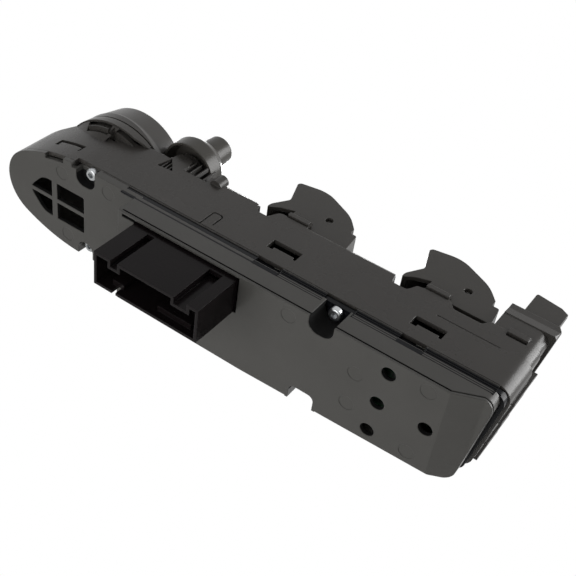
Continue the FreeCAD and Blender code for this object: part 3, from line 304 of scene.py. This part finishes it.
def solder_mask(name, mask_hex, track_hex, track_mm):
    """Green mask over tracks in a square layout. The weave is really 0.5 mm, drawn at 1.2 mm so
    that it shows."""
    layout_mm = 10.0
    weave_mm = 1.2
    weave_relief_mm = 0.05

    mat, tree, shader, place = new_material(name)
    tracks = add_node(tree, "ShaderNodeTexBrick",
                      {"Vector": place, "Scale": 1000 / layout_mm,
                       "Mortar Size": track_mm / layout_mm, "Color1": linear(mask_hex),
                       "Color2": linear(mask_hex), "Mortar": linear(track_hex)})
    tree.links.new(tracks.outputs["Color"], shader.inputs["Base Color"])
    weave = add_node(tree, "ShaderNodeTexWave", {"Vector": place, "Scale": 1000 / weave_mm})
    bump = add_node(tree, "ShaderNodeBump",
                    {"Height": weave.outputs["Fac"], "Strength": 0.08,
                     "Distance": weave_relief_mm / 1000})
    tree.links.new(bump.outputs["Normal"], shader.inputs["Normal"])
    shader.inputs["Roughness"].default_value = 0.3
    return mat


board_laminate = solder_mask("green_masked_laminate", "#0e2a1a", "#1d4a2e", track_mm=0.4)
finish("circuit_board", board_laminate)
finish("mirror_board", board_laminate)


# Control chip
# A case of black moulded epoxy with tinned legs on two sides, soldered to the board. The case
# is dull and finely pitted, and beyond it the legs shine.

def epoxy_chip(name, case_hex, leg_hex, case_half_mm, middle_y_mm):
    """Epoxy within the case's half width from its middle line, tinned metal beyond it. The pits
    are really 0.05 mm wide, drawn at 0.2 mm so that they show."""
    seam_mm = 0.05
    pit_mm = 0.2
    pit_relief_mm = 0.05

    mat, tree, shader, place = new_material(name)
    axes = add_node(tree, "ShaderNodeSeparateXYZ", {"Vector": place})
    offset = add_node(tree, "ShaderNodeMath", {0: axes.outputs["Y"], 1: middle_y_mm / 1000},
                      operation="SUBTRACT")
    reach = add_node(tree, "ShaderNodeMath", {0: offset.outputs[0]}, operation="ABSOLUTE")
    on_leg = add_node(tree, "ShaderNodeMath",
                      {0: reach.outputs[0], 1: (case_half_mm + seam_mm) / 1000},
                      operation="GREATER_THAN")
    tone = add_node(tree, "ShaderNodeMix",
                    {"Factor": on_leg.outputs[0], "A": linear(case_hex), "B": linear(leg_hex)},
                    data_type="RGBA")
    tree.links.new(tone.outputs["Result"], shader.inputs["Base Color"])
    tree.links.new(on_leg.outputs[0], shader.inputs["Metallic"])
    pits = add_node(tree, "ShaderNodeTexNoise", {"Vector": place, "Scale": 1000 / pit_mm})
    bump = add_node(tree, "ShaderNodeBump",
                    {"Height": pits.outputs["Fac"], "Strength": 0.2,
                     "Distance": pit_relief_mm / 1000})
    tree.links.new(bump.outputs["Normal"], shader.inputs["Normal"])
    shader.inputs["Roughness"].default_value = 0.4
    return mat


moulded_epoxy = epoxy_chip("black_moulded_epoxy", "#232323", "#cfcfca", case_half_mm=6.0,
                           middle_y_mm=1.0)
finish("control_chip", moulded_epoxy)


# Capacitors
# Three cans drawn from aluminium sheet and soldered below the board. Drawing leaves them
# bright, with fine marks down the sides.

drawn_aluminium = plated_metal("drawn_aluminium", "#b9babd", "#cdced1", roughness=0.3,
                               grain_mm=0.12)
finish("capacitors", drawn_aluminium)


# Connector inlet
# The keyed shroud is glass-filled black nylon from a polished mould, darker and glossier than
# the housing. Its sixteen pins are tin-plated brass, pressed in and soldered to the board.

# the polished skin waves over 0.5 mm and has no grain to draw
shroud_nylon = moulded_plastic("glossy_black_nylon", "#0d0a0b", "#141011", roughness=0.22,
                               grain_mm=0.5, grain_depth=0.12, edge_mm=0.3, gloss=0.08)
finish("connector_shroud", shroud_nylon)
tinned_brass = plated_metal("tin_plated_brass", "#c4c2ba", "#dcdad2", roughness=0.26,
                            grain_mm=0.2)
finish("connector_pins", tinned_brass)


# Mirror turret
# The drum and flange round the mirror pad, set over the housing's nose. It is black ABS with
# a finer grain, so that it takes a slightly softer sheen than the housing.

# the grain is 0.08 mm wide, drawn at 0.25 mm so that it shows
turret_abs = moulded_plastic("fine_grained_black_abs", "#33312f", "#3a3836", roughness=0.32,
                             grain_mm=0.25, grain_depth=0.2, edge_mm=0.3, gloss=0.25)
finish("mirror_turret", turret_abs)


# Mirror pad
# The round pad that tilts under the thumb, moulded in ABS and sprayed with a soft-touch
# lacquer, which leaves it almost without gloss.

# the lacquer's grain is 0.05 mm wide, drawn at 0.2 mm so that it shows
pad_lacquer = moulded_plastic("soft_touch_lacquer", "#2f2f2f", "#353535", roughness=0.62,
                              grain_mm=0.2, grain_depth=0.15, edge_mm=0.3, gloss=0.3)
finish("mirror_pad", pad_lacquer)


# Gimbal, selector rotor and sliders
# The running parts inside, moulded in natural acetal and clipped or laid in place. It is an
# off-white plastic with a slightly waxy shine.

# the smooth skin waves over 0.8 mm and has no grain to draw
acetal = moulded_plastic("natural_acetal", "#cfcdc4", "#d9d7cf", roughness=0.38, grain_mm=0.8,
                         grain_depth=0.08, edge_mm=0.15, gloss=0.5)
acetal.node_tree.nodes["Principled BSDF"].inputs["IOR"].default_value = 1.48
finish("pad_gimbal", acetal)
finish("selector_rotor", acetal)
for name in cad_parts:
    if name.startswith("slider_"):
        finish(name, acetal)


# Dome mat
# Silicone rubber pressed into a mat with one dome below each foot of the pad. It is dull and
# pale grey, and light passes a little way into it.

def silicone(name, low_hex, high_hex):
    """Pressed silicone with faint clouds of filler."""
    cloud_mm = 3.0
    light_reach_mm = 1.0
    silicone_ior = 1.41

    mat, tree, shader, place = new_material(name)
    cloud = add_node(tree, "ShaderNodeTexNoise", {"Vector": place, "Scale": 1000 / cloud_mm})
    tone = add_node(tree, "ShaderNodeMix",
                    {"Factor": cloud.outputs["Fac"], "A": linear(low_hex), "B": linear(high_hex)},
                    data_type="RGBA")
    tree.links.new(tone.outputs["Result"], shader.inputs["Base Color"])
    shader.inputs["Roughness"].default_value = 0.55
    shader.inputs["IOR"].default_value = silicone_ior
    shader.inputs["Subsurface Weight"].default_value = 0.2
    shader.inputs["Subsurface Radius"].default_value = [light_reach_mm / 1000] * 3
    return mat


finish("dome_mat", silicone("pressed_silicone", "#8d8f90", "#9b9d9e"))


# Selector knob
# Post and bell in one moulding of black ABS, pressed on the rotor. It is satin from its mould
# and the lightest of the dark pieces where the light falls along the post.

# the grain is 0.1 mm wide, drawn at 0.3 mm so that it shows
knob_abs = moulded_plastic("satin_knob_abs", "#35332f", "#3c3a37", roughness=0.3, grain_mm=0.3,
                           grain_depth=0.15, edge_mm=0.3, gloss=0.2)
finish("selector_knob", knob_abs)


# Springs
# The contact springs and the selector's wiper are bent from rolled bronze strip. The lock key's
# coil is wound from drawn spring steel.

bronze = plated_metal("rolled_spring_bronze", "#b98f4e", "#cba462", roughness=0.28, grain_mm=0.3)
finish("selector_wiper", bronze)
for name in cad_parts:
    if name.startswith("contact_spring_"):
        finish(name, bronze)


def wound_coil(name, foot_mm, top_z_mm, coil_r_mm, wire_r_mm, turns, material):
    """Round wire wound upward from the foot. The first and last turns lie flat, and the pitch
    is even between them."""
    steps_a_turn = 28
    sides = 8
    steps = steps_a_turn * turns
    flat = 1.0 / turns
    x, y, foot_z = foot_mm
    rise = top_z_mm - foot_z - 2 * wire_r_mm
    shape = bmesh.new()
    rings = []
    for i in range(steps + 1):
        share = i / steps
        climb = min(1.0, max(0.0, (share - 0.75 * flat) / (1 - 1.5 * flat)))
        angle = 2 * math.pi * turns * share
        out = Vector((math.cos(angle), math.sin(angle), 0))
        middle_line = Vector((x, y, foot_z + wire_r_mm + rise * climb)) + out * coil_r_mm
        ring = []
        for j in range(sides):
            t = 2 * math.pi * j / sides
            round_wire = out * wire_r_mm * math.cos(t) + Vector((0, 0, wire_r_mm * math.sin(t)))
            ring.append(shape.verts.new((middle_line + round_wire) / 1000))
        rings.append(ring)
    for one, two in zip(rings, rings[1:]):
        for j in range(sides):
            k = (j + 1) % sides
            shape.faces.new((one[j], one[k], two[k], two[j]))
    shape.faces.new(rings[0])
    shape.faces.new(list(reversed(rings[-1])))
    bmesh.ops.recalc_face_normals(shape, faces=shape.faces)
    for face in shape.faces:
        face.smooth = True
    return add_piece(name, shape, material)


drawn_spring_steel = plated_metal("drawn_spring_steel", "#9fa1a4", "#b4b6b9", roughness=0.3,
                                  grain_mm=0.1)
key_coil = wound_coil("key_coil", foot_mm=(55.6, -11.0, -6.2), top_z_mm=12.45, coil_r_mm=3.0,
                      wire_r_mm=0.33, turns=8, material=drawn_spring_steel)
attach(key_coil, "panel")
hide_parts("lock_spring")
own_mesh(key_coil)


# Window rockers
# Four keys of black ABS on pins in the housing. They have the housing's eroded grain, a little
# duller, with rounder edges for the finger.

# the eroded grain is 0.15 mm wide, drawn twice as coarse so that it shows
rocker_abs = moulded_plastic("eroded_key_abs", "#2f2d2b", "#363431", roughness=0.32,
                             grain_mm=0.3, grain_depth=0.25, edge_mm=0.4, gloss=0.2)
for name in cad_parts:
    if name.startswith("rocker_"):
        finish(name, rocker_abs)


# Lock key and its switch
# The key that locks the rear windows, moulded like the rockers. Its stem presses a small
# switch on the carrier, in a grained case of black PBT that is greyer and duller than the key.

finish("lock_button", rocker_abs)
# the case's grain is 0.1 mm wide, drawn at 0.3 mm so that it shows
switch_pbt = moulded_plastic("switch_case_pbt", "#1e1e1f", "#262627", roughness=0.4,
                             grain_mm=0.3, grain_depth=0.2, edge_mm=0.15, gloss=0.4)
finish("lock_switch", switch_pbt)


# Floor
# A sheet of matte pale paper far below the panel, under the camera too, so that the panel
# stands against white and its shadow falls softly on the sheet.

def sheet_of_paper(name, size_m, z_m, material):
    shape = bmesh.new()
    bmesh.ops.create_grid(shape, x_segments=4, y_segments=4, size=size_m / 2)
    bmesh.ops.translate(shape, verts=shape.verts, vec=(0, 0, z_m))
    return add_piece(name, shape, material)


def pale_paper(name, low_hex, high_hex, glow):
    """Pale paper with faint clouds of fibre, 4 mm wide. The camera alone sees a glow on it, the
    light of the white walls."""
    fibre_mm = 4.0

    mat, tree, shader, place = new_material(name)
    fibres = add_node(tree, "ShaderNodeTexNoise",
                      {"Vector": place, "Scale": 1000 / fibre_mm, "Detail": 4.0})
    tone = add_node(tree, "ShaderNodeMix",
                    {"Factor": fibres.outputs["Fac"], "A": linear(low_hex),
                     "B": linear(high_hex)}, data_type="RGBA")
    tree.links.new(tone.outputs["Result"], shader.inputs["Base Color"])
    shader.inputs["Roughness"].default_value = 0.9
    shader.inputs["Emission Color"].default_value = linear("#ffffff")
    ray = add_node(tree, "ShaderNodeLightPath")
    seen_glow = add_node(tree, "ShaderNodeMath", {0: ray.outputs["Is Camera Ray"], 1: glow},
                         operation="MULTIPLY")
    tree.links.new(seen_glow.outputs[0], shader.inputs["Emission Strength"])
    return mat


matte_paper = pale_paper("matte_pale_paper", "#f1f1ef", "#f5f5f3", glow=0.5)
paper = sheet_of_paper("floor_paper", size_m=4.0, z_m=-0.5, material=matte_paper)


# Studio light
# A broad soft lamp stands beyond the square end, above the panel. A second one faces up below
# it, a third lights the top and the far side, and white walls all round give the rest.

def lamp(name, where, aim, size, watts):
    data = bpy.data.lights.new(name, "AREA")
    data.shape = "DISK"
    data.size = size
    data.energy = watts
    thing = bpy.data.objects.new(name, data)
    thing.visible_camera = False
    bpy.context.scene.collection.objects.link(thing)
    thing.location = where
    thing.rotation_euler = (Vector(aim) - Vector(where)).to_track_quat("-Z", "Y").to_euler()


panel_middle = (-0.04, 0.0, -0.01)
lamp("end_lamp", (0.42, -0.16, 0.5), panel_middle, size=0.5, watts=5.5)
lamp("under_lamp", (-0.16, -0.14, -0.46), (-0.16, -0.14, 0.0), size=0.5, watts=1.15)
lamp("back_lamp", (-0.4, 0.5, 0.5), panel_middle, size=0.5, watts=6.0)

# the walls light the panel softly; where they are seen, mirrored or seen through, they are white
world = bpy.data.worlds.new("white_walls")
world.use_nodes = True
bpy.context.scene.world = world
walls_tree = world.node_tree
walls_tree.nodes.clear()
ray = add_node(walls_tree, "ShaderNodeLightPath")
white = linear("#ffffff")
soft_walls = add_node(walls_tree, "ShaderNodeBackground", {"Color": white, "Strength": 0.38})
seen_walls = add_node(walls_tree, "ShaderNodeBackground", {"Color": white, "Strength": 1.0})
mirrored = add_node(walls_tree, "ShaderNodeMath",
                    {0: ray.outputs["Is Camera Ray"], 1: ray.outputs["Is Glossy Ray"]},
                    operation="MAXIMUM")
direct = add_node(walls_tree, "ShaderNodeMath",
                  {0: mirrored.outputs[0], 1: ray.outputs["Is Transmission Ray"]},
                  operation="MAXIMUM")
walls = add_node(walls_tree, "ShaderNodeMixShader",
                 {0: direct.outputs[0], 1: soft_walls.outputs[0], 2: seen_walls.outputs[0]})
add_node(walls_tree, "ShaderNodeOutputWorld", {"Surface": walls.outputs[0]})


# Camera
# It stands below the near long side and is rolled, so that the panel climbs to the left. Its
# place, its turn and its focal length were solved from the panel's straight edges.

focal_px = 1036.465
picture_px = 576
film_mm = 36.0
nearest_m = 0.01
camera_place = Vector((0.11115, -0.2553, -0.2721))
right = Vector((0.8176, -0.1208, 0.563))
up = Vector((-0.4478, -0.7481, 0.4897))
back = right.cross(up).normalized()

camera = bpy.data.cameras.new("photo_camera")
camera.sensor_width = film_mm
camera.lens = film_mm * focal_px / picture_px
camera.clip_start = nearest_m
eye = bpy.data.objects.new("photo_camera", camera)
turn = Matrix((right, up, back)).transposed().to_4x4()
eye.matrix_world = Matrix.Translation(camera_place) @ turn
bpy.context.scene.collection.objects.link(eye)
bpy.context.scene.camera = eye

bpy.context.scene.view_settings.view_transform = "Standard"
